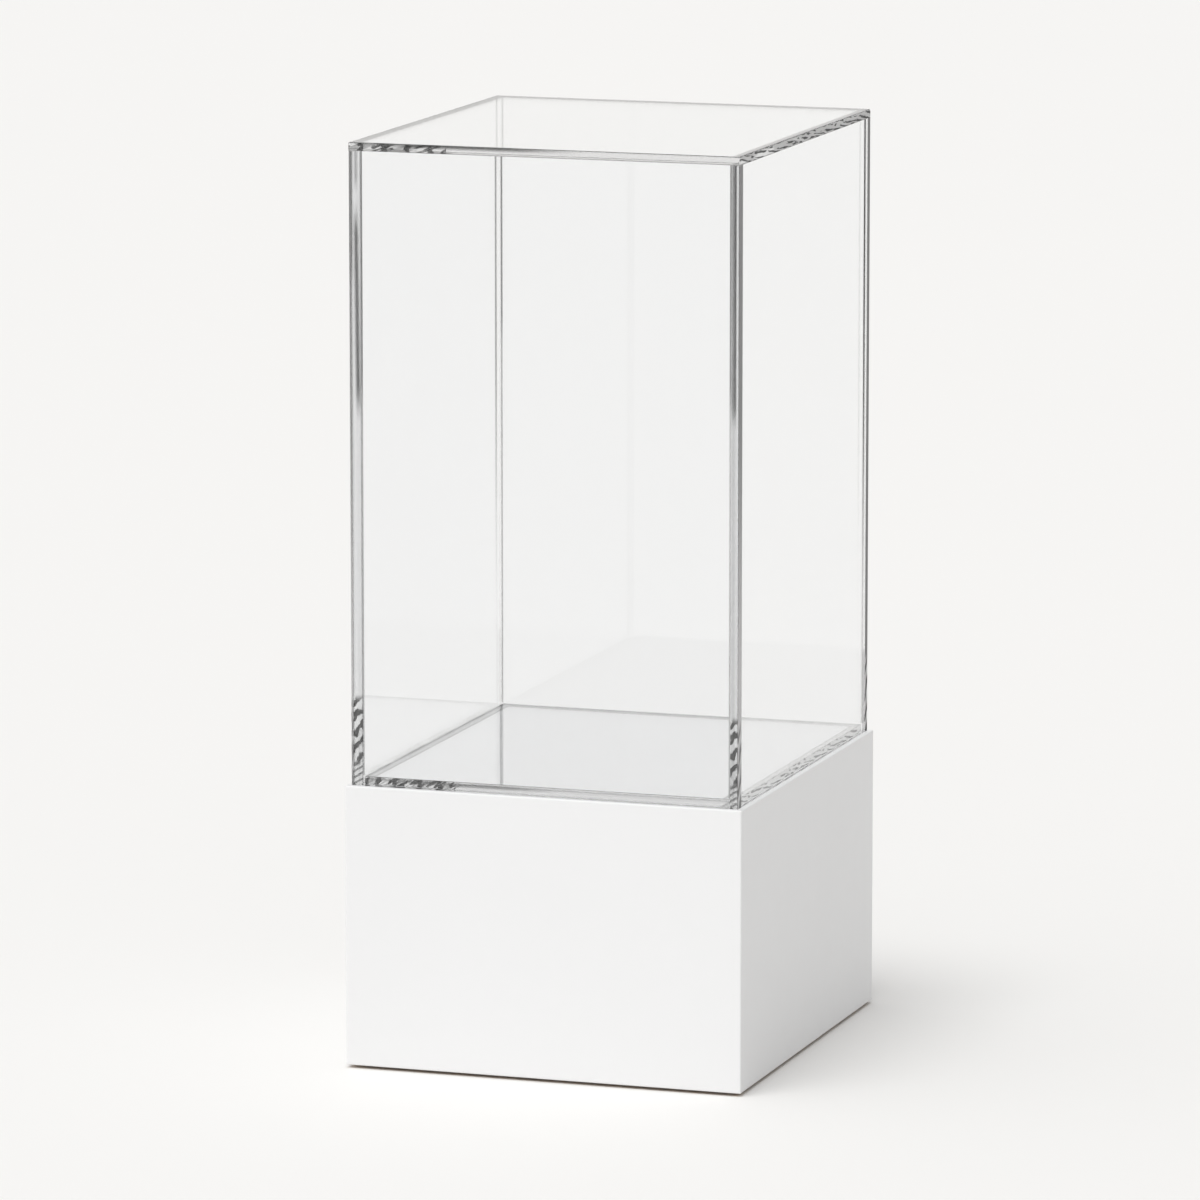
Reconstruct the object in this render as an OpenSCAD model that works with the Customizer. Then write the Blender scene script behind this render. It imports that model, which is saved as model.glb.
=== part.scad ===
// Pedestal display case: a lacquered box plinth with a clear deck sheet on it, and
// a clear cover that stands round the deck on the plinth's ledge and lifts off.
// Millimetres. +Z up, the front faces -Y, the origin is under the middle of the
// plinth on the floor.

/* [Plinth] */
// Width of the plinth, left to right
plinth_w = 400; // [320:5:600]
// Depth of the plinth, front to back
plinth_d = 440; // [320:5:600]
// Height of the plinth's box, without its glides
box_h = 275; // [250:5:1000]
// Thickness of the lacquered boards
board_t = 18; // [16:1:25]
// Radius of the box's lacquered edges
edge_r = 1.5; // [0.5:0.25:3]

/* [Deck] */
// Thickness of the clear deck sheet
deck_t = 8; // [3:1:12]
// Gap between the deck's edge and the inside of the cover
deck_gap = 1; // [0.5:0.25:2]
// Radius of the deck's polished edges
deck_r = 0.5; // [0.25:0.25:1]

/* [Cover] */
// Height of the cover from its rim to its top
cover_h = 622; // [300:2:900]
// Thickness of the cover's four walls
wall_t = 10; // [5:1:15]
// Thickness of the cover's top sheet
lid_t = 8; // [5:1:15]
// Step from the plinth's faces in to the cover's faces
cover_inset = 5; // [2:0.5:20]
// Radius of the cover's polished edges
polish_r = 0.5; // [0.25:0.25:2]

/* [Inner frame] */
// Side of the square corner posts
post_w = 38; // [32:1:50]
// Width of the battens under the top board
batten_w = 20; // [18:1:30]
// Height of the battens under the top board
batten_h = 30; // [20:1:45]
// Thickness of the rails round the bottom
rail_t = 18; // [15:1:25]
// Height of the rails round the bottom
rail_h = 60; // [40:5:90]
// Chamfer on the long free edges of posts, battens and rails
planed_c = 2; // [1:0.5:4]

/* [Biscuit joints] */
// Length of a biscuit
biscuit_l = 53; // [40:1:56]
// Width of a biscuit, half of it in each board
biscuit_w = 19; // [15:1:21]
// Thickness of a biscuit
biscuit_t = 4; // [3:0.5:5]
// Width of the flat at each end of a biscuit
biscuit_flat = 5; // [3:1:7]
// Clearance all round a biscuit in its slot
slot_gap = 0.15; // [0.1:0.05:0.3]
// Distance of a biscuit's middle from each of the two outer faces
biscuit_in = 11; // [10:0.5:12]
// Distance of the end biscuits' middles from the ends of a joint
biscuit_end = 60; // [45:5:65]
// Number of biscuits in each joint
biscuit_count = 3; // [2:1:3]

/* [Screws] */
// Shank diameter of the frame screws
screw_d = 4; // [3:0.5:5]
// Head diameter of the frame screws
head_d = 8; // [6:0.5:10]
// Depth of the frame screws in the board that they hold
screw_bite = 12; // [8:1:13]
// Length of the point of every screw
point_l = 4; // [2:1:6]
// Clearance round a screw in its hole
screw_gap = 0.05; // [0.05:0.05:0.1]
// Distance of the first screw from the end of a batten or a rail
screw_end = 25; // [20:5:40]
// Distance from a batten's sideways screws on to its upward ones
screw_step = 30; // [15:5:50]

/* [Glides] */
// Diameter of a glide
glide_d = 28; // [20:1:30]
// Thickness of a glide, which is the shadow gap under the box
glide_t = 3; // [3:0.5:8]
// Chamfer round a glide's sole
glide_c = 0.8; // [0.4:0.2:1.2]
// Shank diameter of the glide screws
glide_screw_d = 3.5; // [3:0.5:4]
// Head diameter of the glide screws
glide_head_d = 7; // [6:0.5:8]
// Depth of the glide screws in the posts
glide_bite = 22; // [15:1:30]
// Depth of the glide screws' heads above the sole
head_recess = 0.6; // [0.4:0.1:0.8]

/* [Hidden] */
$fn = 64;

// Heights above the floor
box_z = glide_t;
ledge_z = box_z + box_h;
inner_top_z = ledge_z - board_t;

// Outer sizes of the cover
cover_w = plinth_w - 2 * cover_inset;
cover_d = plinth_d - 2 * cover_inset;

// The four sides and the four upright corners, each in order round Z
SIDES = ["front", "right", "back", "left"];
CORNERS = ["front_right", "back_right", "back_left", "front_left"];

// Quarter turns about Z from the front, or from the front right corner
function turns(place, places) = search([place], places)[0];

// Whether a side is the front or the back, and the sizes that follow from that
function is_end(side) = side == "front" || side == "back";
function face_length(side) = is_end(side) ? plinth_w : plinth_d;
function face_distance(side) = (is_end(side) ? plinth_d : plinth_w) / 2;

// A corner's place on the plinth's outline
function corner_at(corner) =
    let (turn = turns(corner, CORNERS))
    [(turn < 2 ? 1 : -1) * plinth_w / 2, (turn % 3 == 0 ? -1 : 1) * plinth_d / 2, 0];

// How far a cutter reaches past the face that it cuts
past = 1;

// Middles of COUNT pieces spread over LENGTH, the first END from each end
function spread(length, count, end) =
    [for (i = [0:count - 1]) (i / (count - 1) - 0.5) * (length - 2 * end)];

// Radius of the arc that stands RISE high on a chord of CHORD
function arc_r(chord, rise) = (pow(chord / 2, 2) + pow(rise, 2)) / (2 * rise);

// A rectangle with round corners
module round_rect(size, r) {
    square([size.x - 2 * r, size.y], center = true);
    square([size.x, size.y - 2 * r], center = true);
    for (sx = [-1, 1], sy = [-1, 1])
        translate([sx * (size.x / 2 - r), sy * (size.y / 2 - r)]) circle(r);
}

// A block whose twelve edges are rounded, standing on z = 0
module round_block(size, r) {
    translate([0, 0, size.z / 2])
        intersection() {
            linear_extrude(size.z, center = true) round_rect([size.x, size.y], r);
            rotate([90, 0, 0])
                linear_extrude(size.y, center = true) round_rect([size.x, size.z], r);
            rotate([90, 0, 90])
                linear_extrude(size.x, center = true) round_rect([size.y, size.z], r);
        }
}

// Turns a child, drawn for the front with its outer face on y = 0, to a side
module on_side(side) {
    rotate([0, 0, 90 * turns(side, SIDES)])
        translate([0, -face_distance(side), 0]) children();
}

// Puts a child, drawn for the front right corner at the origin, at a corner
module at_corner(corner) {
    translate(corner_at(corner)) rotate([0, 0, 90 * turns(corner, CORNERS)]) children();
}

// ---- Boards -------------------------------------------------------------

// The outside of the lacquered box, edges rounded
module box_outside() {
    translate([0, 0, box_z]) round_block([plinth_w, plinth_d, box_h], edge_r);
}

// An upright board, mitred at both ends and along its top
module mitred_board(side) {
    half = face_length(side) / 2;
    difference() {
        intersection() {
            box_outside();
            on_side(side) translate([0, 0, box_z]) linear_extrude(box_h)
                polygon([[-half, 0], [half, 0], [half - board_t, board_t],
                         [board_t - half, board_t]]);
            on_side(side) rotate([90, 0, 90]) linear_extrude(2 * half, center = true)
                polygon([[0, box_z], [board_t, box_z], [board_t, inner_top_z],
                         [0, ledge_z]]);
        }
        biscuit_slots();
        screw_holes();
    }
}

// The top board, mitred along its four edges
module mitred_top() {
    difference() {
        intersection() {
            box_outside();
            for_each_way(plinth_w, plinth_d);
            for_each_way(plinth_d, plinth_w, 90);
        }
        biscuit_slots();
        screw_holes();
    }
}

// A bar under the ledge that tapers inwards below at its two long edges
module for_each_way(across, along, turn = 0) {
    rotate([90, 0, turn]) linear_extrude(along, center = true)
        polygon([[-across / 2, ledge_z], [across / 2, ledge_z],
                 [across / 2 - board_t, inner_top_z],
                 [board_t - across / 2, inner_top_z]]);
}

module front_board() { color("white") mitred_board("front"); }
module back_board() { color("white") mitred_board("back"); }
module left_board() { color("white") mitred_board("left"); }
module right_board() { color("white") mitred_board("right"); }
module top_board() { color("white") mitred_top(); }

// The clear sheet that the cover fits round
module deck() {
    inset = cover_inset + wall_t + deck_gap;
    color("lightcyan", 0.35) translate([0, 0, ledge_z])
        round_block([plinth_w - 2 * inset, plinth_d - 2 * inset, deck_t], deck_r);
}

// ---- Biscuit joints -----------------------------------------------------

// A biscuit in the mitre of an edge that runs along X at the origin. The edge's
// two outer faces look to -Y and +Z.
module biscuit(gap = 0) {
    l = biscuit_l + 2 * gap;
    w = biscuit_w + 2 * gap;
    rise = (biscuit_w - biscuit_flat) / 2;
    r = arc_r(biscuit_l, rise) + gap;
    translate([0, biscuit_in, -biscuit_in]) rotate([45, 0, 0])
        linear_extrude(biscuit_t + 2 * gap, center = true)
            intersection() {
                square([l, w], center = true);
                translate([0, r - w / 2]) circle(r, $fn = 180);
                translate([0, w / 2 - r]) circle(r, $fn = 180);
            }
}

module upright_biscuits(gap = 0) {
    for (corner = CORNERS, at = spread(box_h, biscuit_count, biscuit_end))
        at_corner(corner) translate([0, 0, box_z + box_h / 2 + at])
            rotate([0, 90, 0]) biscuit(gap);
}

module level_biscuits(gap = 0) {
    for (side = SIDES, at = spread(face_length(side), biscuit_count, biscuit_end))
        on_side(side) translate([at, 0, ledge_z]) biscuit(gap);
}

module biscuit_slots() {
    upright_biscuits(slot_gap);
    level_biscuits(slot_gap);
}

module corner_biscuits() { color("burlywood") upright_biscuits(); }
module top_biscuits() { color("burlywood") level_biscuits(); }

// ---- Inner frame --------------------------------------------------------

// A square post in its corner of the box, from the bottom up to the top board
module post(corner) {
    color("wheat") difference() {
        at_corner(corner) translate([-board_t, board_t, box_z])
            linear_extrude(inner_top_z - box_z)
                polygon([[0, 0], [0, post_w], [planed_c - post_w, post_w],
                         [-post_w, post_w - planed_c], [-post_w, 0]]);
        glide_holes();
    }
}

module post_front_left() { post("front_left"); }
module post_front_right() { post("front_right"); }
module post_back_left() { post("back_left"); }
module post_back_right() { post("back_right"); }

// Length of what fits between the two posts of a side
function between_posts(side) = face_length(side) - 2 * (board_t + post_w);

// A planed bar between two posts, its back against the board. Its free long
// edge is chamfered, the lower one on a batten and the upper one on a rail.
module bar(side, t, h, z, chamfer_up) {
    y0 = board_t;
    y1 = board_t + t;
    z1 = z + h;
    color("wheat") difference() {
        on_side(side) rotate([90, 0, 90])
            linear_extrude(between_posts(side), center = true)
                polygon(chamfer_up
                    ? [[y0, z], [y1, z], [y1, z1 - planed_c], [y1 - planed_c, z1],
                       [y0, z1]]
                    : [[y0, z], [y1 - planed_c, z], [y1, z + planed_c], [y1, z1],
                       [y0, z1]]);
        screw_holes();
    }
}

module batten(side) { bar(side, batten_w, batten_h, inner_top_z - batten_h, false); }
module rail(side) { bar(side, rail_t, rail_h, box_z, true); }

module batten_front() { batten("front"); }
module batten_back() { batten("back"); }
module batten_left() { batten("left"); }
module batten_right() { batten("right"); }
module rail_front() { rail("front"); }
module rail_back() { rail("back"); }
module rail_left() { rail("left"); }
module rail_right() { rail("right"); }

// ---- Screws -------------------------------------------------------------

// A countersunk screw that points up, its head's flat on z = 0
module screw(d, head, l) {
    rotate_extrude()
        polygon([[0, 0], [head / 2, 0], [d / 2, (head - d) / 2],
                 [d / 2, l - point_l], [0, l]]);
}

// The hole for that screw, open below its head
module screw_hole(d, head, l) {
    hole_r = d / 2 + screw_gap;
    head_r = head / 2 + screw_gap;
    rotate_extrude()
        polygon([[0, -past], [head_r, -past], [head_r, 0], [hole_r, head_r - hole_r],
                 [hole_r, l - point_l], [0, l + screw_gap]]);
}

// A frame screw, or the hole for it
module frame_screw(l, hole) {
    if (hole) screw_hole(screw_d, head_d, l);
    else screw(screw_d, head_d, l);
}

// Screws that go sideways through a bar T thick into the board, at height Z
module sideways_screws(side, t, z, hole) {
    for (at = spread(between_posts(side), 2, screw_end))
        on_side(side) translate([at, board_t + t, z]) rotate([90, 0, 0])
            frame_screw(t + screw_bite, hole);
}

// Screws that go up through a batten into the top board
module upward_screws(side, hole) {
    for (at = spread(between_posts(side), 2, screw_end + screw_step))
        on_side(side) translate([at, board_t + batten_w / 2, inner_top_z - batten_h])
            frame_screw(batten_h + screw_bite, hole);
}

module all_batten_screws(hole = false) {
    for (side = SIDES) {
        sideways_screws(side, batten_w, inner_top_z - batten_h / 2, hole);
        upward_screws(side, hole);
    }
}

module all_rail_screws(hole = false) {
    for (side = SIDES) sideways_screws(side, rail_t, box_z + rail_h / 2, hole);
}

module screw_holes() {
    all_batten_screws(true);
    all_rail_screws(true);
}

module batten_screws() { color("silver") all_batten_screws(); }
module rail_screws() { color("silver") all_rail_screws(); }

// ---- Glides -------------------------------------------------------------

// Puts a child in the middle of a post's foot, at the floor
module under_post(corner) {
    at_corner(corner)
        translate([-board_t - post_w / 2, board_t + post_w / 2, 0]) children();
}

module glide_holes() {
    for (corner = CORNERS)
        under_post(corner) translate([0, 0, head_recess])
            screw_hole(glide_screw_d, glide_head_d, glide_screw_l);
}

glide_screw_l = glide_t - head_recess + glide_bite;

// A round glide, its sole chamfered and its hole countersunk
module glide(corner) {
    color("dimgray") difference() {
        under_post(corner)
            rotate_extrude()
                polygon([[0, 0], [glide_d / 2 - glide_c, 0], [glide_d / 2, glide_c],
                         [glide_d / 2, glide_t], [0, glide_t]]);
        glide_holes();
    }
}

module glide_front_left() { glide("front_left"); }
module glide_front_right() { glide("front_right"); }
module glide_back_left() { glide("back_left"); }
module glide_back_right() { glide("back_right"); }

module glide_screws() {
    color("silver") for (corner = CORNERS)
        under_post(corner) translate([0, 0, head_recess])
            screw(glide_screw_d, glide_head_d, glide_screw_l);
}

// ---- Cover --------------------------------------------------------------

// A sheet of the cover: the part inside a block of the polished outside
module sheet(size, at) {
    color("lightcyan", 0.35) intersection() {
        translate([0, 0, ledge_z]) round_block([cover_w, cover_d, cover_h], polish_r);
        translate(at) translate([-size.x / 2, -size.y / 2, 0]) cube(size);
    }
}

wall_h = cover_h - lid_t;

module cover_top() { sheet([cover_w, cover_d, lid_t], [0, 0, ledge_z + wall_h]); }

// Front and back sheets run the whole width, and the sides fit between them
module end_sheet(way) {
    sheet([cover_w, wall_t, wall_h], [0, way * (cover_d - wall_t) / 2, ledge_z]);
}

module side_sheet(way) {
    sheet([wall_t, cover_d - 2 * wall_t, wall_h],
          [way * (cover_w - wall_t) / 2, 0, ledge_z]);
}

module cover_front() { end_sheet(-1); }
module cover_back() { end_sheet(1); }
module cover_left() { side_sheet(-1); }
module cover_right() { side_sheet(1); }

front_board();
back_board();
left_board();
right_board();
top_board();
deck();
post_front_left();
post_front_right();
post_back_left();
post_back_right();
batten_front();
batten_back();
batten_left();
batten_right();
rail_front();
rail_back();
rail_left();
rail_right();
corner_biscuits();
top_biscuits();
batten_screws();
rail_screws();
glide_front_left();
glide_front_right();
glide_back_left();
glide_back_right();
glide_screws();
cover_top();
cover_front();
cover_back();
cover_left();
cover_right();
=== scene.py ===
"""Looks of a pedestal display case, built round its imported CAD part.

A white lacquered box plinth stands on four glides. A clear deck sheet lies on it, and a
clear cover of five sheets stands round the deck on the plinth's ledge and lifts off.
Lengths are in metres, +Z is up and the front faces -Y.
"""

import logging
import math
from abc import ABC, abstractmethod
from dataclasses import dataclass
from enum import Enum
from typing import Any, Iterable, Iterator

import bmesh
import bpy
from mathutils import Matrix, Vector


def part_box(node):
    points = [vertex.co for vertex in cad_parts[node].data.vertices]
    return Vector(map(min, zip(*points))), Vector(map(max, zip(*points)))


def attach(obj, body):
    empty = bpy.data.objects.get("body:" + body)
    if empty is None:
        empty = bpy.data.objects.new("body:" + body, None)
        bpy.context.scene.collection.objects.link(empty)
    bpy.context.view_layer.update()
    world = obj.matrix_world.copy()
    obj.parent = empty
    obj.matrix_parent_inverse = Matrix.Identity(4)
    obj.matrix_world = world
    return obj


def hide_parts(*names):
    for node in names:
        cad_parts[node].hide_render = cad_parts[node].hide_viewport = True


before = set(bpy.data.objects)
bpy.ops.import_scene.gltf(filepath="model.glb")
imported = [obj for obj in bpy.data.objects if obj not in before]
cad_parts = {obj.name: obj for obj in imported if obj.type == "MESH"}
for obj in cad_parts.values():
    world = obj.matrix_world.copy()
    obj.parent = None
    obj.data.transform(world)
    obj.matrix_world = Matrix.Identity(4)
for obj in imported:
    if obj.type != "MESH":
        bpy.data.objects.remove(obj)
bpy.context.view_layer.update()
LOG = logging.getLogger("display_case")
MM = 0.001

Colour = tuple[float, float, float]
Reach = tuple[float, float]  # from one value to another
Socket = bpy.types.NodeSocket
BMesh = bmesh.types.BMesh
Verts = list[bmesh.types.BMVert]


class Axis(Enum):
    """A direction of the shared frame, by the index of its coordinate."""

    X = 0
    Y = 1
    Z = 2


class Side(Enum):
    """A side of a sheet, by the index and the sign of its outward direction."""

    LEFT = (0, -1)
    RIGHT = (0, 1)
    FRONT = (1, -1)
    BACK = (1, 1)
    UNDER = (2, -1)
    TOP = (2, 1)


# ---- Helpers -----------------------------------------------------------------------


def mesh_of(name: str, made: BMesh) -> bpy.types.Mesh:
    """Turns a mesh in the making into a finished one.

    Args:
        name: The mesh's name.
        made: The mesh in the making, which is freed.

    Returns:
        The mesh.
    """
    mesh = bpy.data.meshes.new(name)
    made.to_mesh(mesh)
    made.free()
    return mesh


def placed(name: str, data: bpy.types.ID) -> bpy.types.Object:
    """Puts a new object into the scene, at the origin.

    Args:
        name: The object's name.
        data: Its mesh, lamp or camera.

    Returns:
        The object.
    """
    made = bpy.data.objects.new(name, data)
    bpy.context.scene.collection.objects.link(made)
    return made


def bridge(made: BMesh, lower: Verts, upper: Verts) -> None:
    """Joins two rings of as many points with faces.

    Args:
        made: The mesh in the making.
        lower: The first ring.
        upper: The second ring.
    """
    for index in range(len(lower)):
        after = (index + 1) % len(lower)
        made.faces.new((lower[index], lower[after], upper[after], upper[index]))


def dimmed(colour: Colour, share: float) -> Colour:
    """Returns a share of a colour."""
    return colour[0] * share, colour[1] * share, colour[2] * share


# ---- Node trees --------------------------------------------------------------------

MOST: Reach = (0.3, 0.7)  # where most of a noise's values lie


@dataclass(frozen=True)
class Grain:
    """A noise, and the relief that it may make.

    Attributes:
        scale: How many of its patches fit in a metre.
        detail: How many finer layers it has.
        roughness: How strong the finer layers are.
        depth: How deep its relief is.
    """

    scale: float
    detail: float = 2.0
    roughness: float = 0.5
    depth: float = 0.0


class Painter:
    """Adds nodes to one tree and links them."""

    def __init__(self, tree: bpy.types.NodeTree) -> None:
        """Keeps the tree that the nodes go into."""
        self.tree = tree

    def node(self, kind: str, inputs: dict[str | int, Any] | None = None,
             **settings: Any) -> bpy.types.Node:
        """Adds a node.

        Args:
            kind: The node's type.
            inputs: A value, or a socket to link, for each input by name or index.
            **settings: The node's own settings.

        Returns:
            The new node.
        """
        made = self.tree.nodes.new(kind)
        for key, value in settings.items():
            setattr(made, key, value)
        self.feed_all(made, inputs or {})
        return made

    def feed_all(self, node: bpy.types.Node, inputs: dict[str | int, Any]) -> None:
        """Feeds some of a node's inputs, by name or index."""
        for key, value in inputs.items():
            self.feed(node.inputs[key], value)

    def feed(self, socket: Socket, value: Any) -> None:
        """Feeds one input.

        Args:
            socket: The input.
            value: A socket to link, or a value that is set on the input itself.
        """
        if isinstance(value, bpy.types.NodeSocket):
            self.tree.links.new(value, socket)
        elif isinstance(value, tuple) and socket.type == "RGBA" and len(value) == 3:
            socket.default_value = (*value, 1.0)
        else:
            socket.default_value = value

    def maths(self, operation: str, *values: Any) -> Socket:
        """Returns the result of a Math node on numbers or sockets."""
        inputs = dict(enumerate(values))
        return self.node("ShaderNodeMath", inputs, operation=operation).outputs[0]

    def apart(self, first: Any, second: Any) -> Socket:
        """Returns how far two values lie apart."""
        return self.maths("ABSOLUTE", self.maths("SUBTRACT", first, second))

    def position(self) -> Socket:
        """Returns the place on the piece, in Object coordinates."""
        return self.node("ShaderNodeTexCoord").outputs["Object"]

    def drawn_out(self, along: Axis, share: float) -> Socket:
        """Returns the place on the piece, one of its axes scaled.

        Args:
            along: The axis that a pattern is drawn out along.
            share: What that axis is scaled by.

        Returns:
            The place.
        """
        scale = [1.0, 1.0, 1.0]
        scale[along.value] = share
        inputs = {"Vector": self.position(), "Scale": scale}
        return self.node("ShaderNodeMapping", inputs).outputs[0]

    def axes(self, vector: Socket) -> tuple[Socket, Socket, Socket]:
        """Returns the three coordinates of a vector."""
        outputs = self.node("ShaderNodeSeparateXYZ", {0: vector}).outputs
        return outputs[0], outputs[1], outputs[2]

    def noise(self, vector: Socket, grain: Grain) -> Socket:
        """Makes a noise.

        Args:
            vector: The place that it is read at.
            grain: The noise's sizes.

        Returns:
            The noise, from 0 to 1.
        """
        inputs = {"Vector": vector, "Scale": grain.scale, "Detail": grain.detail,
                  "Roughness": grain.roughness}
        return self.node("ShaderNodeTexNoise", inputs).outputs["Fac"]

    def spread(self, value: Any, low: float, high: float, out_low: float = 0.0,
               out_high: float = 1.0, smooth: bool = False) -> Socket:
        """Maps a value from one range to another, without going past its ends.

        Args:
            value: The value to map.
            low: The value that gives out_low.
            high: The value that gives out_high.
            out_low: The result at low.
            out_high: The result at high.
            smooth: Whether the result eases in and out.

        Returns:
            The mapped value.
        """
        easing = "SMOOTHSTEP" if smooth else "LINEAR"
        inputs = {0: value, 1: low, 2: high, 3: out_low, 4: out_high}
        made = self.node("ShaderNodeMapRange", inputs, interpolation_type=easing)
        return made.outputs[0]

    def blend(self, factor: Any, first: Any, second: Any) -> Socket:
        """Returns a colour between two colours, the first where the factor is 0."""
        inputs = {0: factor, 6: first, 7: second}
        return self.node("ShaderNodeMix", inputs, data_type="RGBA").outputs[2]

    def mixed(self, factor: Any, first: Socket, second: Socket) -> Socket:
        """Returns a mix of two shaders, the first where the factor is 0."""
        inputs = {0: factor, 1: first, 2: second}
        return self.node("ShaderNodeMixShader", inputs).outputs[0]

    def bump(self, height: Socket, depth: float,
             normal: Socket | None = None) -> Socket:
        """Returns the normal of a surface with a fine relief.

        Args:
            height: The relief, from 0 to 1.
            depth: How deep the relief is.
            normal: The normal of a coarser relief under it.

        Returns:
            The new normal.
        """
        inputs: dict[str | int, Any] = {
            "Height": height, "Distance": depth, "Strength": 1.0}
        if normal is not None:
            inputs["Normal"] = normal
        return self.node("ShaderNodeBump", inputs).outputs[0]

    def relief(self, vector: Socket, grain: Grain,
               normal: Socket | None = None) -> Socket:
        """Returns the normal of a surface with a noise's relief, read at a place."""
        return self.bump(self.noise(vector, grain), grain.depth, normal)


# ---- Finishes ----------------------------------------------------------------------


@dataclass(frozen=True)
class Finish(ABC):
    """A finish that one or more pieces share.

    Attributes:
        name: The name of its material.
    """

    name: str

    def material(self) -> bpy.types.Material:
        """Finds the finish's material, or makes it when it is first asked for.

        Returns:
            The material.
        """
        found = bpy.data.materials.get(self.name)
        if found is not None:
            return found
        made = bpy.data.materials.new(self.name)
        made.use_nodes = True
        self.paint(Painter(made.node_tree), made.node_tree.nodes["Principled BSDF"])
        return made

    @abstractmethod
    def paint(self, painter: Painter, surface: bpy.types.Node) -> None:
        """Builds the finish.

        Args:
            painter: What adds nodes to the material.
            surface: The material's own Principled shader.
        """

    def dress(self, nodes: Iterable[str]) -> list[bpy.types.Object]:
        """Puts the finish on some CAD nodes.

        Args:
            nodes: The nodes' names.

        Returns:
            The dressed pieces.
        """
        pieces = [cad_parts[name] for name in nodes]
        for piece in pieces:
            piece.data.materials.clear()
            piece.data.materials.append(self.material())
        return pieces


@dataclass(frozen=True)
class LacqueredBoard(Finish):
    """White satin lacquer on the outer skin of a fibreboard box, bare board inside.

    Attributes:
        skin: How far in from the box's outside the lacquer reaches.
        white: The lacquer's colour.
        cloud_shade: The share of the white that its clouds have.
        clouds: The clouds.
        gloss: The lacquer's lowest and highest roughness.
        gloss_patches: Where the lacquer is the rougher.
        waves: The long waves of a sprayed surface.
        peel: Its fine orange peel.
        board: The bare board's colour.
        warm_board: The bare board's colour in its warmer patches.
        board_patches: Those patches.
        bare_roughness: The bare board's roughness.
        fleck: The colour of its dark fibres.
        fibres: The fibres.
        fleck_reach: Where the fibres turn dark.
    """

    skin: float = 0.8 * MM
    white: Colour = (0.805, 0.805, 0.807)
    cloud_shade: float = 0.985
    clouds: Grain = Grain(9.0, 3.0)
    gloss: Reach = (0.34, 0.42)
    gloss_patches: Grain = Grain(40.0, 4.0)
    waves: Grain = Grain(14.0, 1.0, depth=0.05 * MM)
    peel: Grain = Grain(650.0, depth=0.008 * MM)
    board: Colour = (0.40, 0.275, 0.165)
    warm_board: Colour = (0.46, 0.33, 0.205)
    board_patches: Grain = Grain(25.0, 3.0)
    bare_roughness: float = 0.9
    fleck: Colour = (0.24, 0.15, 0.085)
    fibres: Grain = Grain(900.0, 3.0, 0.7)
    fleck_reach: Reach = (0.56, 0.7)

    def paint(self, painter: Painter, surface: bpy.types.Node) -> None:
        """Builds the finish: lacquer near the box's outside, bare board behind it.

        Args:
            painter: What adds nodes to the material.
            surface: The material's own Principled shader.
        """
        place = painter.position()
        outer = self.outer_skin(painter, place)
        lacquer = painter.blend(painter.noise(place, self.clouds), self.white,
                                dimmed(self.white, self.cloud_shade))
        gloss = painter.spread(painter.noise(place, self.gloss_patches), *MOST,
                               *self.gloss)
        board = self.bare_board(painter, place)
        bare = painter.spread(outer, 0.0, 1.0, self.bare_roughness, 0.0)
        waves = painter.relief(place, self.waves)
        painter.feed_all(surface, {
            "Base Color": painter.blend(outer, board, lacquer),
            "Roughness": painter.maths("MAXIMUM", gloss, bare),
            "Normal": painter.relief(place, self.peel, waves)})

    def outer_skin(self, painter: Painter, place: Socket) -> Socket:
        """Finds the plinth's outer skin. The plinth's middle is over the origin.

        Args:
            painter: What adds nodes to the material.
            place: The place on the piece.

        Returns:
            The mask, 1 in the skin and 0 behind it.
        """
        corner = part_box("top_board")[1]
        across, along, up = painter.axes(place)
        ways = (painter.maths("ABSOLUTE", across), painter.maths("ABSOLUTE", along), up)
        beyond = [painter.maths("SUBTRACT", way, end) for way, end in zip(ways, corner)]
        farthest = painter.maths("MAXIMUM", *beyond[:2])
        farthest = painter.maths("MAXIMUM", farthest, beyond[2])
        return painter.maths("GREATER_THAN", farthest, -self.skin)

    def bare_board(self, painter: Painter, place: Socket) -> Socket:
        """Makes the colour of pressed wood fibres, with darker flecks.

        Args:
            painter: What adds nodes to the material.
            place: The place on the piece.

        Returns:
            The colour.
        """
        patches = painter.noise(place, self.board_patches)
        pale = painter.blend(patches, self.board, self.warm_board)
        flecks = painter.spread(painter.noise(place, self.fibres), *self.fleck_reach)
        return painter.blend(flecks, pale, self.fleck)


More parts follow.
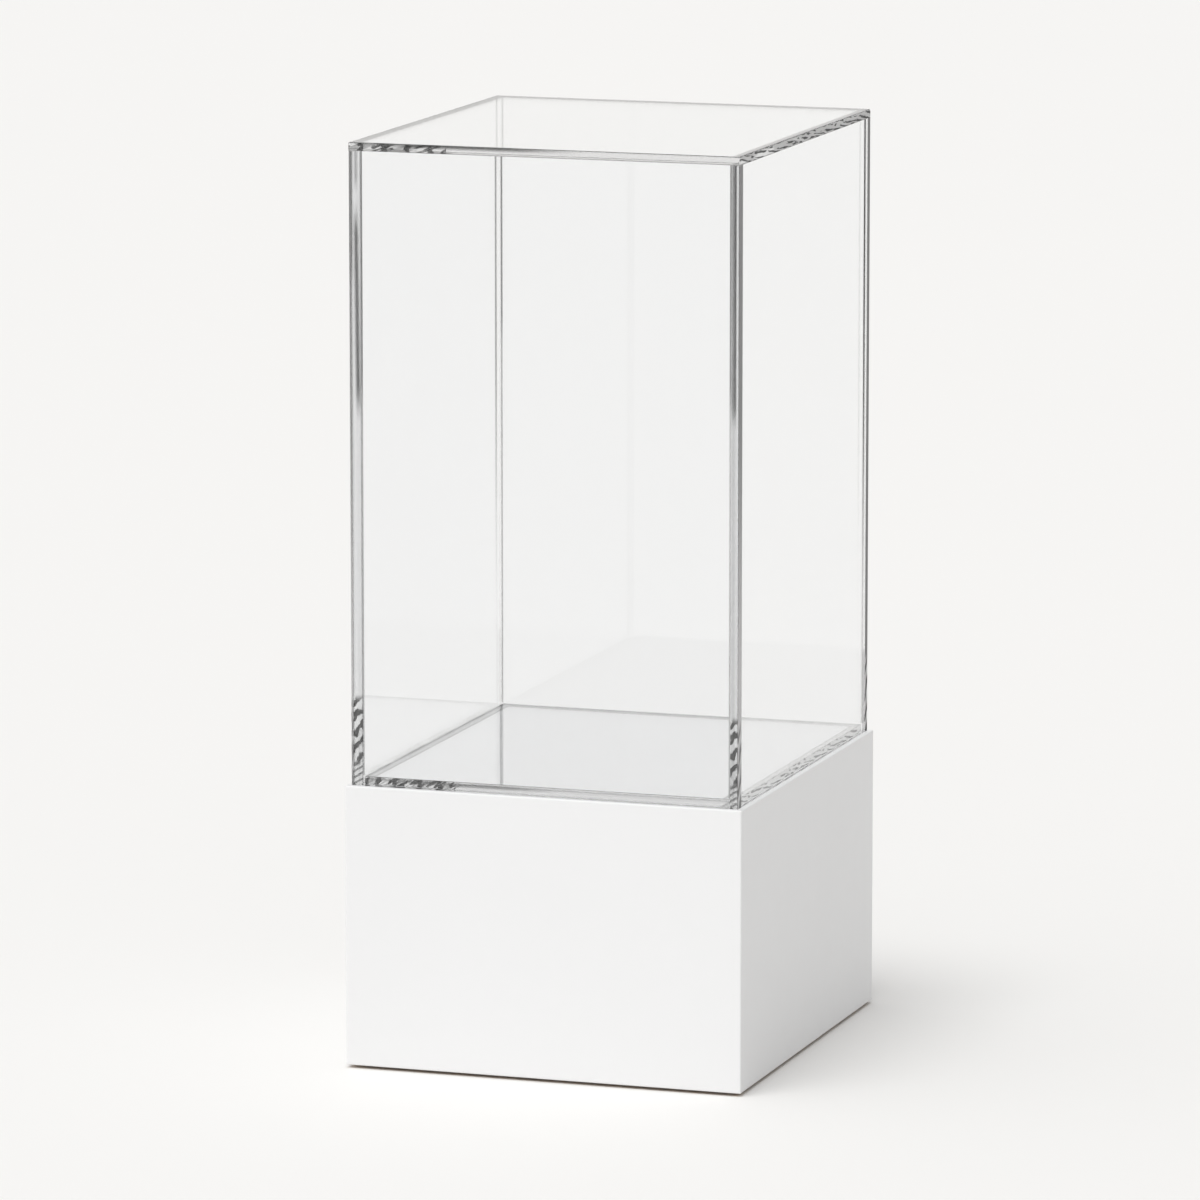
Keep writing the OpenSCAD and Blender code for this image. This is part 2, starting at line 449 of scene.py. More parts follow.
@dataclass(frozen=True)
class PlanedSoftwood(Finish):
    """Planed pine with growth rings that run along one axis.

    Attributes:
        along: The axis that the tree grew along.
        early: The colour of the pale part of a ring.
        late: The colour of its dark part.
        stretch: What the grain's own axis is scaled by.
        bends: How the rings bend.
        rings: How many rings lie between the noise's 0 and 1.
        late_reach: Which share of a ring turns dark.
        ring_depth: How deep the planed rings stand.
        fibres: The fibres.
        fleck_reach: Where the fibres darken.
        fleck_share: How much they darken.
        roughness: The roughness of the pale and the dark part.
    """

    along: Axis = Axis.Z
    early: Colour = (0.66, 0.49, 0.29)
    late: Colour = (0.47, 0.28, 0.125)
    stretch: float = 0.06
    bends: Grain = Grain(22.0)
    rings: float = 17.0
    late_reach: Reach = (0.55, 0.97)
    ring_depth: float = 0.06 * MM
    fibres: Grain = Grain(900.0, depth=0.04 * MM)
    fleck_reach: Reach = (0.5, 0.75)
    fleck_share: float = 0.35
    roughness: Reach = (0.72, 0.6)

    def paint(self, painter: Painter, surface: bpy.types.Node) -> None:
        """Builds the finish: bent rings, fine fibres and a faint relief of both.

        Args:
            painter: What adds nodes to the material.
            surface: The material's own Principled shader.
        """
        place = painter.drawn_out(self.along, self.stretch)
        bends = painter.noise(place, self.bends)
        turns = painter.maths("FRACT", painter.maths("MULTIPLY", bends, self.rings))
        ring = painter.spread(turns, *self.late_reach, smooth=True)
        fibres = painter.noise(place, self.fibres)
        wood = painter.blend(ring, self.early, self.late)
        fleck = painter.spread(fibres, *self.fleck_reach, 0.0, self.fleck_share)
        planed = painter.bump(ring, self.ring_depth)
        painter.feed_all(surface, {
            "Base Color": painter.blend(fleck, wood, self.late),
            "Roughness": painter.spread(ring, 0.0, 1.0, *self.roughness),
            "Normal": painter.bump(fibres, self.fibres.depth, planed)})


@dataclass(frozen=True)
class PressedBeech(Finish):
    """Pressed beech with short dark flecks and an embossed grid.

    Attributes:
        pale: The wood's colour.
        dark: The flecks' colour.
        stretch: What the flecks' own axis is scaled by.
        flecks: The flecks.
        fleck_reach: Where the wood turns dark.
        roughness: The wood's roughness.
        grid_scale: How many squares of the grid fit in a metre.
        grid_depth: How deep the grid is.
    """

    pale: Colour = (0.50, 0.33, 0.20)
    dark: Colour = (0.33, 0.19, 0.10)
    stretch: float = 0.25
    flecks: Grain = Grain(700.0)
    fleck_reach: Reach = (0.5, 0.66)
    roughness: float = 0.8
    grid_scale: float = 420.0
    grid_depth: float = 0.2 * MM

    def paint(self, painter: Painter, surface: bpy.types.Node) -> None:
        """Builds the finish: flecks in the colour, the grid in the relief.

        Args:
            painter: What adds nodes to the material.
            surface: The material's own Principled shader.
        """
        flecks = painter.noise(painter.drawn_out(Axis.Z, self.stretch), self.flecks)
        inputs = {"Vector": painter.position(), "Scale": self.grid_scale}
        grid = painter.node("ShaderNodeTexVoronoi", inputs, distance="CHEBYCHEV")
        painter.feed_all(surface, {
            "Base Color": painter.blend(painter.spread(flecks, *self.fleck_reach),
                                        self.pale, self.dark),
            "Roughness": self.roughness,
            "Normal": painter.bump(grid.outputs["Distance"], self.grid_depth)})


@dataclass(frozen=True)
class ZincPlate(Finish):
    """Bright zinc plate on turned steel, with faint clouds and tool marks.

    Attributes:
        cold: The plate's colour.
        warm: Its colour in the clouds.
        clouds: The clouds.
        roughness: Its lowest and highest roughness.
        marks: The tool's marks.
    """

    cold: Colour = (0.60, 0.61, 0.60)
    warm: Colour = (0.72, 0.71, 0.66)
    clouds: Grain = Grain(300.0, 3.0)
    roughness: Reach = (0.24, 0.42)
    marks: Grain = Grain(2600.0, 1.0, depth=0.004 * MM)

    def paint(self, painter: Painter, surface: bpy.types.Node) -> None:
        """Builds the finish.

        Args:
            painter: What adds nodes to the material.
            surface: The material's own Principled shader.
        """
        place = painter.position()
        clouds = painter.noise(place, self.clouds)
        painter.feed_all(surface, {
            "Metallic": 1.0,
            "Base Color": painter.blend(clouds, self.cold, self.warm),
            "Roughness": painter.spread(clouds, *MOST, *self.roughness),
            "Normal": painter.relief(place, self.marks)})


@dataclass(frozen=True)
class MouldedNylon(Finish):
    """Dark moulded nylon, grained, and rubbed brighter where it stands on the floor.

    Attributes:
        sole: How high above the floor the rubbing reaches.
        black: The nylon's colour.
        rubbed: Its colour where it is rubbed.
        stretch: What the scuffs' own axis is scaled by.
        scuffs: The scuffs.
        worn: How worn the nylon is where its gloss is highest.
        roughness: Its roughness unworn and worn.
        grain: The mould's grain.
    """

    sole: float = 0.9 * MM
    black: Colour = (0.018, 0.018, 0.019)
    rubbed: Colour = (0.075, 0.075, 0.078)
    stretch: float = 0.1
    scuffs: Grain = Grain(500.0, 3.0)
    worn: float = 0.6
    roughness: Reach = (0.5, 0.3)
    grain: Grain = Grain(1500.0, depth=0.02 * MM)

    def paint(self, painter: Painter, surface: bpy.types.Node) -> None:
        """Builds the finish: a fine grain, and a rubbed sole below the chamfer.

        Args:
            painter: What adds nodes to the material.
            surface: The material's own Principled shader.
        """
        place = painter.position()
        low = painter.spread(painter.axes(place)[2], 0.0, self.sole, 1.0, 0.0)
        scuffs = painter.noise(painter.drawn_out(Axis.Y, self.stretch), self.scuffs)
        wear = painter.maths("MULTIPLY", low, scuffs)
        painter.feed_all(surface, {
            "Base Color": painter.blend(wear, self.black, self.rubbed),
            "Roughness": painter.spread(wear, 0.0, self.worn, *self.roughness),
            "Normal": painter.relief(place, self.grain)})


@dataclass(frozen=True)
class StudioFloor(Finish):
    """Plain pale floor paint with a hardly visible cloud.

    Attributes:
        pale: The paint's colour.
        cloud_shade: The share of it that the cloud has.
        clouds: The cloud.
        roughness: The paint's roughness.
    """

    pale: Colour = (0.904, 0.896, 0.881)
    cloud_shade: float = 0.995
    clouds: Grain = Grain(1.2)
    roughness: float = 0.9

    def paint(self, painter: Painter, surface: bpy.types.Node) -> None:
        """Builds the finish.

        Args:
            painter: What adds nodes to the material.
            surface: The material's own Principled shader.
        """
        cloud = painter.noise(painter.position(), self.clouds)
        painter.feed_all(surface, {
            "Base Color": painter.blend(cloud, self.pale,
                                        dimmed(self.pale, self.cloud_shade)),
            "Roughness": self.roughness})


# ---- Painted shade on clear edges --------------------------------------------------

EDGE_UV = "across_edge"  # across a face from 0 to 1, and along it in metres
MIDDLE = 0.5  # of a face, across it


@dataclass(frozen=True)
class Span:
    """A stretch along an edge, from the edge's low end.

    Attributes:
        start: Where it starts. The default is below every edge.
        stop: Where it stops. The default is past every edge.
        fade: How long it fades at each end.
    """

    start: float = -1.0
    stop: float = 9.0
    fade: float = 0.01

    def within(self, painter: Painter, along: Socket) -> Socket:
        """Finds the stretch.

        Args:
            painter: What adds nodes to the material.
            along: The place along the edge.

        Returns:
            The mask, 1 within the stretch and fading to 0 beyond its ends.
        """
        begun = painter.spread(along, self.start - self.fade, self.start, smooth=True)
        left = painter.spread(along, self.stop, self.stop + self.fade, 1.0, 0.0,
                              smooth=True)
        return painter.maths("MULTIPLY", begun, left)


@dataclass(frozen=True)
class PaintedShade(ABC):
    """Painted shade on a part of a clear edge: a darkening that stands in for the dark
    lines and bands that refraction and reflection draw in clear acrylic.

    Attributes:
        grey: What is left of the light where the mark is darkest.
        span: The stretch of the edge that has the mark.
    """

    grey: float
    span: Span = Span()

    @abstractmethod
    def cover(self, painter: Painter, across: Socket, along: Socket) -> Socket:
        """Finds where the mark lies, if it ran along the whole edge.

        Args:
            painter: What adds nodes to the material.
            across: The place across the edge, from 0 to 1.
            along: The place along the edge.

        Returns:
            The mask, 1 where the mark is darkest.
        """

    def factor(self, painter: Painter, across: Socket, along: Socket) -> Socket:
        """Finds what the edge's light is multiplied by, 1 beside the mark.

        Args:
            painter: What adds nodes to the material.
            across: The place across the edge, from 0 to 1.
            along: The place along the edge.

        Returns:
            The factor.
        """
        covered = painter.maths("MULTIPLY", self.cover(painter, across, along),
                                self.span.within(painter, along))
        return painter.spread(covered, 0.0, 1.0, 1.0, self.grey)


@dataclass(frozen=True)
class Tone(PaintedShade):
    """An even grey of painted shade."""

    def cover(self, painter: Painter, across: Socket, along: Socket) -> Socket:
        """Returns 1 everywhere."""
        return painter.maths("ADD", 1.0, 0.0)


@dataclass(frozen=True)
class Line(PaintedShade):
    """A soft line of painted shade along the edge.

    Attributes:
        place: Where its middle is across the edge.
        half: Half its width, as a share of the edge's.
        lean: How far its middle moves towards 0 for each metre from the span's start.
    """

    place: float = MIDDLE
    half: float = 0.2
    lean: float = 0.0

    def cover(self, painter: Painter, across: Socket, along: Socket) -> Socket:
        """Draws the line, 1 in its middle and 0 from its half width on.

        Args:
            painter: What adds nodes to the material.
            across: The place across the edge, from 0 to 1.
            along: The place along the edge.

        Returns:
            The mask.
        """
        risen = painter.maths("SUBTRACT", along, self.span.start)
        moved = painter.maths("MULTIPLY", risen, self.lean)
        middle = painter.maths("SUBTRACT", self.place, moved)
        away = painter.apart(across, middle)
        return painter.spread(away, 0.0, self.half, 1.0, 0.0, smooth=True)


@dataclass(frozen=True)
class Borders(PaintedShade):
    """A soft line of painted shade along each border of the edge.

    Attributes:
        width: How far a line reaches inwards, as a share of the edge's width.
    """

    width: float = 0.15

    def cover(self, painter: Painter, across: Socket, along: Socket) -> Socket:
        """Returns the borders, 1 outside and 0 from their width inwards."""
        away, far, full = painter.apart(across, MIDDLE), self.width, self.width / 2
        return painter.spread(away, MIDDLE - far, MIDDLE - full, smooth=True)


@dataclass(frozen=True)
class Streaks(PaintedShade):
    """Slanting streaks of painted shade that follow each other along the edge, like a
    rope's lay.

    Attributes:
        pitch: The distance from one streak to the next.
        slant: How many pitches a streak climbs across the edge.
        sway: How many pitches the streaks sway to and fro.
        shift: How many pitches they are moved along.
        low: The height of the wave, from -1 to 1, where a streak begins.
        high: The height where it is full.
        gaps: How much of the edge is left bare, 0 for none of it.
        swaying: The noise that they sway by, its scale by the pitch.
        breaks: The noise that breaks them up, its scale by the pitch.
        break_fade: How softly they break off.
    """

    pitch: float = 30.0 * MM
    slant: float = 1.0
    sway: float = 3.0
    shift: float = 0.0
    low: float = -0.1
    high: float = 0.7
    gaps: float = 0.0
    swaying: Grain = Grain(0.9)
    breaks: Grain = Grain(2.2, 1.0)
    break_fade: float = 0.04

    def cover(self, painter: Painter, across: Socket, along: Socket) -> Socket:
        """Draws the streaks, 1 in their middles.

        Args:
            painter: What adds nodes to the material.
            across: The place across the edge, from 0 to 1.
            along: The place along the edge.

        Returns:
            The mask.
        """
        # The streaks stand in for the braided dark lines that a wavy polished edge
        # refracts.
        turns = painter.maths("MULTIPLY_ADD", along, 1 / self.pitch, self.shift)
        line = painter.node("ShaderNodeCombineXYZ", {0: across, 1: turns}).outputs[0]
        sway = painter.maths("MULTIPLY", painter.noise(line, self.swaying), self.sway)
        lean = painter.maths("MULTIPLY_ADD", across, self.slant, sway)
        climbed = painter.maths("ADD", turns, lean)
        wave = painter.maths("SINE", painter.maths("MULTIPLY", climbed, math.tau))
        streaks = painter.spread(wave, self.low, self.high, smooth=True)
        if not self.gaps:
            return streaks
        kept = painter.spread(painter.noise(line, self.breaks),
                              self.gaps - self.break_fade, self.gaps + self.break_fade,
                              smooth=True)
        return painter.maths("MULTIPLY", streaks, kept)


@dataclass(frozen=True)
class Band(PaintedShade):
    """A band of painted shade round a broad level face, at one distance from its
    border.

    Attributes:
        node: The CAD node whose face it is.
        at: How far the band's middle lies from the border.
        half: Half the band's width.
        open_front: Whether the band leaves out the front of the face.
    """

    node: str = "cover_top"
    at: float = 5.0 * MM
    half: float = 5.0 * MM
    open_front: bool = False

    def cover(self, painter: Painter, across: Socket, along: Socket) -> Socket:
        """Draws the band, 1 within its half width of its middle and 0 beside it.

        Args:
            painter: What adds nodes to the material.
            across: The place across the face, from 0 to 1.
            along: The place along the face.

        Returns:
            The mask.
        """
        low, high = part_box(self.node)
        width, length, _ = high - low
        away_x = painter.apart(across, MIDDLE)
        away_y = painter.maths("SUBTRACT", along, length / 2)
        if not self.open_front:
            away_y = painter.maths("ABSOLUTE", away_y)
        inset_x = painter.maths("MULTIPLY_ADD", away_x, -width, width / 2)
        inset_y = painter.maths("SUBTRACT", length / 2, away_y)
        inset = painter.maths("MINIMUM", inset_x, inset_y)
        return painter.maths("LESS_THAN", painter.apart(inset, self.at), self.half)


# ---- Clear finishes ----------------------------------------------------------------

ACRYLIC_IOR = 1.49


@dataclass(frozen=True)
class ClearAcrylic(Finish):
    """Clear cast acrylic, which may have painted shade on an edge: dark marks that
    stand in for the dark lines that refraction draws in it.

    A shadow ray, or one that a dull surface sent out, passes straight through, so the
    sheets light and shade what is round them as thin clear sheets do.

    Attributes:
        marks: The painted shade.
        frost: How much of a sanded edge's white bloom lies over it.
        rough: The acrylic's roughness.
        tint: Its colour.
        passed: The share of the light that passes straight through.
        dark: The grey of the painted shade.
        bloom: The grey of the bloom.
    """

    marks: tuple[PaintedShade, ...] = ()
    frost: float = 0.0
    rough: float = 0.0
    tint: Colour = (0.977, 0.981, 0.986)
    passed: float = 0.997
    dark: float = 0.04
    bloom: float = 0.85

    def paint(self, painter: Painter, surface: bpy.types.Node) -> None:
        """Builds the finish, with the painted shade that its fields ask for.

        Args:
            painter: What adds nodes to the material.
            surface: The material's own Principled shader.
        """
        painter.feed_all(surface, {
            "Base Color": self.tint, "Roughness": self.rough, "IOR": ACRYLIC_IOR,
            "Transmission Weight": 1.0})
        clear = painter.node("ShaderNodeBsdfTransparent", {0: (self.passed,) * 3})
        ray = painter.node("ShaderNodeLightPath").outputs
        straight = painter.maths("MAXIMUM", ray["Is Shadow Ray"], ray["Is Diffuse Ray"])
        with_painted_shade = self.with_painted_shade(painter, self.frosted(painter, surface.outputs[0]))
        painter.feed_all(painter.tree.nodes["Material Output"], {
            "Surface": painter.mixed(straight, with_painted_shade, clear.outputs[0])})

    def frosted(self, painter: Painter, glass: Socket) -> Socket:
        """Lays the white bloom of a sanded edge over the clear surface.

        Args:
            painter: What adds nodes to the material.
            glass: The clear surface.

        Returns:
            The surface with its bloom.
        """
        if not self.frost:
            return glass
        bloom = painter.node("ShaderNodeBsdfDiffuse", {0: (self.bloom,) * 3})
        return painter.mixed(self.frost, glass, bloom.outputs[0])

    def with_painted_shade(self, painter: Painter, glass: Socket) -> Socket:
        """Lays the finish's painted shade over the clear surface, as a mix with a dark
        dull surface.

        Args:
            painter: What adds nodes to the material.
            glass: The clear surface.

        Returns:
            The surface with its painted shade.
        """
        if not self.marks:
            return glass
        place = painter.node("ShaderNodeUVMap", uv_map=EDGE_UV).outputs[0]
        across, along, _ = painter.axes(place)
        # What is left of the light where the painted shade lies.
        light = self.marks[0].factor(painter, across, along)
        for mark in self.marks[1:]:
            left = mark.factor(painter, across, along)
            light = painter.maths("MULTIPLY", light, left)
        # The dark dull surface that the painted shade mixes in.
        dark = painter.node("ShaderNodeBsdfDiffuse", {0: (self.dark,) * 3})
        return painter.mixed(light, dark.outputs[0], glass)


@dataclass(frozen=True)
class CuredCement(Finish):
    """Acrylic cement that has cured in a corner: clear, but dull, and greyed with
    painted shade that darkens above a height.

    Attributes:
        low_grey: Its grey of painted shade at the foot.
        high_grey: Its darker grey of painted shade at the head.
        turn: The heights between which the painted grey turns.
        cloudy: Its roughness.
        bubbles: Its tiny bubbles.
    """

    low_grey: float = 0.6
    high_grey: float = 0.3
    turn: Reach = (0.65, 0.68)
    cloudy: float = 0.25
    bubbles: Grain = Grain(700.0, 1.0, depth=0.02 * MM)

    def paint(self, painter: Painter, surface: bpy.types.Node) -> None:
        """Builds the finish, with the bubbles in its relief.

        Args:
            painter: What adds nodes to the material.
            surface: The material's own Principled shader.
        """
        place = painter.position()
        # Painted shade: the grey darkens above the turn.
        grey = painter.spread(painter.axes(place)[2], *self.turn, self.low_grey,
                              self.high_grey)
        painter.feed_all(surface, {
            "Base Color": grey, "Roughness": self.cloudy, "IOR": ACRYLIC_IOR,
            "Transmission Weight": 1.0, "Normal": painter.relief(place, self.bubbles)})


# ---- The finishes of this case -----------------------------------------------------

LACQUER = LacqueredBoard("white_satin_lacquer")
PINE = {axis: PlanedSoftwood(f"planed_pine_{axis.name.lower()}", axis) for axis in Axis}
BEECH = PressedBeech("pressed_beech")
ZINC = ZincPlate("zinc_plate")
NYLON = MouldedNylon("dark_nylon")
CEMENT = CuredCement("cured_acrylic_cement")
CLEAR = ClearAcrylic("cast_acrylic_clear")

# The upright edges of the cover's front and back sheets, which show beside the corners.
# Their tones, lines and streaks are painted shade; the frost is their sanded finish.
SATIN = ClearAcrylic("cast_acrylic_satin_edge", (
    Tone(0.85), Tone(0.5, Span(start=0.4, fade=0.3)),
    Streaks(0.4, Span(stop=0.075), pitch=26.0 * MM, slant=-0.8, sway=1.5, low=-0.2,
            high=0.5)), frost=0.7, rough=0.3)
DULL = ClearAcrylic("cast_acrylic_dull_edge", (
    Line(0.6, place=0.7, half=0.35),
    Line(0.42, Span(start=0.085, fade=0.02), place=0.7, half=0.35)),
    frost=0.5, rough=0.1)
DIM = ClearAcrylic("cast_acrylic_dim_edge", (
    Tone(0.45, Span(start=0.08)),
    Streaks(0.15, Span(stop=0.07), pitch=24.0 * MM, slant=-0.8, sway=1.5, low=-0.2,
            high=0.5)), frost=0.5, rough=0.1)

# The ends of the cover's side sheets, seen through the front and back sheets.
# Their borders, lines and streaks are painted shade.
UPPER = Span(start=0.39, fade=0.03)
FOOT_PAINTED_SHADE = (
    Streaks(0.3, Span(stop=0.02, fade=0.005), pitch=6.0 * MM, slant=-1.0, sway=0.5),
    Streaks(0.05, Span(0.025, 0.08), pitch=15.0 * MM, slant=-0.6, sway=2.0, low=-0.2,
            high=0.5))
LEFT_END = ClearAcrylic("cast_acrylic_left_end", (
    Borders(0.5), Line(0.88, place=0.68, half=0.3),
    Line(0.1, Span(0.39, 0.53, 0.04), place=0.66, half=0.42, lean=1.0),
    Line(0.35, Span(start=0.52, fade=0.05), place=0.02, half=0.25),
    Line(0.5, Span(start=0.59, fade=0.02), place=0.5, half=0.3), *FOOT_PAINTED_SHADE))
RIGHT_END = ClearAcrylic("cast_acrylic_right_end", (
    Line(0.76, place=0.28, half=0.36), Line(0.35, UPPER, place=0.2, half=0.34),
    Line(0.12, UPPER, place=0.4, half=0.2), *FOOT_PAINTED_SHADE))
LEFT_BACK = ClearAcrylic("cast_acrylic_left_back", (Tone(0.93),))
RIGHT_BACK = ClearAcrylic("cast_acrylic_right_back", (
    Tone(0.85), Borders(0.7, Span(start=0.5, fade=0.1))))

# The walls' other faces.
# Their tones, borders and lines are painted shade.
TOP_END = ClearAcrylic("cast_acrylic_top_end", (Borders(0.6),))
FOOT = ClearAcrylic("cast_acrylic_foot", (Tone(0.9),))
SIDE_FACE = ClearAcrylic("cast_acrylic_side_face", (
    Line(0.1, Span(start=0.4, fade=0.3), place=0.978, half=0.011),))

# The lid's edges and underside.
# Their tones, lines, streaks and band are painted shade; the band under the lid, where
# it is cemented to the walls, stands in for the seam's grey.
LID_FRONT = ClearAcrylic("cast_acrylic_lid_front", (
    Tone(0.88), Line(0.85, place=0.95, half=0.25),
    Line(0.2, Span(0.085, 0.15, 0.1), place=0.85, half=0.5)))
LID_LEFT = ClearAcrylic("cast_acrylic_lid_left", (
    Streaks(0.12, pitch=100.0 * MM, slant=0.3, shift=0.15, low=0.0),))
LID_RIGHT = ClearAcrylic("cast_acrylic_lid_right", (
    Streaks(0.15, pitch=40.0 * MM, slant=2.0, sway=2.5, low=-0.3, high=0.4,
            gaps=0.47),), frost=0.5)
LID_BACK = ClearAcrylic("cast_acrylic_lid_back", (Tone(0.95),))
LID_UNDER = ClearAcrylic("cast_acrylic_lid_underside", (Band(0.55),))

# The deck's edges and underside.
# Their lines, streaks, tone and bands are painted shade.
DECK_FRONT = ClearAcrylic("cast_acrylic_deck_front", (
    Line(0.85, place=0.6, half=0.4),
    Line(0.4, Span(0.075, 0.13, 0.08), place=0.6, half=0.4)))
DECK_LEFT = ClearAcrylic("cast_acrylic_deck_left", (
    Streaks(0.02, pitch=90.0 * MM, slant=0.3, low=0.0, high=0.4),))
DECK_RIGHT = ClearAcrylic("cast_acrylic_deck_right", (
    Streaks(0.02, pitch=36.0 * MM, slant=2.0, sway=2.5, low=-0.2, high=0.5,
            gaps=0.47),), frost=0.8)
DECK_BACK = ClearAcrylic("cast_acrylic_deck_back", (Tone(0.85),))
DECK_UNDER = ClearAcrylic("cast_acrylic_deck_underside", (
    Band(0.7, node="deck", at=4.5 * MM, half=4.5 * MM, open_front=True),
    Band(0.6, node="deck", at=1.0 * MM, half=1.0 * MM, open_front=True),
    Band(0.6, node="deck", at=8.0 * MM, half=1.0 * MM, open_front=True)))


# ---- Clear sheets ------------------------------------------------------------------


@dataclass(frozen=True)
class Face:
    """How one face of a clear sheet is made.

    Attributes:
        finish: The face's finish.
        arris: The widest arris that the face's corners get.
        setback: How far the face stays back from the CAD solid's.
    """

    finish: Finish = CLEAR
    arris: float = 1.5 * MM
    setback: float = 0.0


OPEN = Face()
SEATED = Face(arris=0.15 * MM)


def side_of(face: bmesh.types.BMFace) -> Side:
    """Finds the side of its block that a face is.

    Args:
        face: The face.

    Returns:
        The side.
    """
    face.normal_update()
    axis = max(range(3), key=lambda i: abs(face.normal[i]))
    return Side((axis, 1 if face.normal[axis] > 0 else -1))


@dataclass
class ClearSheet:
    """A clear sheet in the place of one CAD node, its arrises eased.

    Attributes:
        node: The CAD node's name.
        body: The body that the sheet rides on.
        faces: How each side's face is made. A side that isn't named is OPEN.
        widest: The widest arris of the sheet.
        ease_steps: How many facets an arris has.
    """

    node: str
    body: str
    faces: dict[Side, Face]
    widest: float = 1.5 * MM
    ease_steps: int = 4

    def face(self, side: Side) -> Face:
        """Returns how the face of a side is made."""
        return self.faces.get(side, OPEN)

    def finishes(self) -> list[Finish]:
        """Returns the finishes of the sheet's faces, each once."""
        used = [OPEN.finish, *(face.finish for face in self.faces.values())]
        return list(dict.fromkeys(used))

    def build(self) -> bpy.types.Object:
        """Builds the sheet, finishes it and puts it in its node's place.

        Returns:
            The new piece.
        """
        low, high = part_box(self.node)
        for side, face in self.faces.items():
            axis, sign = side.value
            (high if sign > 0 else low)[axis] -= sign * face.setback
        piece = placed(f"{self.node}_sheet", self.block(low, high))
        for finish in self.finishes():
            piece.data.materials.append(finish.material())
        ease = piece.modifiers.new("eased_arrises", "BEVEL")
        ease.width = self.widest
        ease.segments = self.ease_steps
        ease.limit_method = "WEIGHT"
        ease.harden_normals = True
        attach(piece, self.body)
        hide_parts(self.node)
        return piece

    def block(self, low: Vector, high: Vector) -> bpy.types.Mesh:
        """Builds the sheet's block with its bevel weights, finishes and edge UVs.

        Args:
            low: The lowest corner.
            high: The highest corner.

        Returns:
            The mesh.
        """
        made = bmesh.new()
        bmesh.ops.create_cube(made, size=1.0)
        for vert in made.verts:
            for axis in range(3):
                middle = (low[axis] + high[axis]) / 2
                vert.co[axis] = middle + vert.co[axis] * (high[axis] - low[axis])
        weights = made.edges.layers.float.new("bevel_weight_edge")
        for edge in made.edges:
            arris = min(self.face(side_of(face)).arris for face in edge.link_faces)
            edge[weights] = min(1.0, arris / self.widest)
        uv = made.loops.layers.uv.new(EDGE_UV)
        finishes = self.finishes()
        for face in made.faces:
            face.smooth = True
            side = side_of(face)
            face.material_index = finishes.index(self.face(side).finish)
            short, long = sorted((i for i in range(3) if i != side.value[0]),
                                 key=lambda i: high[i] - low[i])
            for loop in face.loops:
                place = loop.vert.co
                share = (place[short] - low[short]) / (high[short] - low[short])
                loop[uv].uv = (share, place[long] - low[long])
        return mesh_of(f"{self.node}_sheet", made)


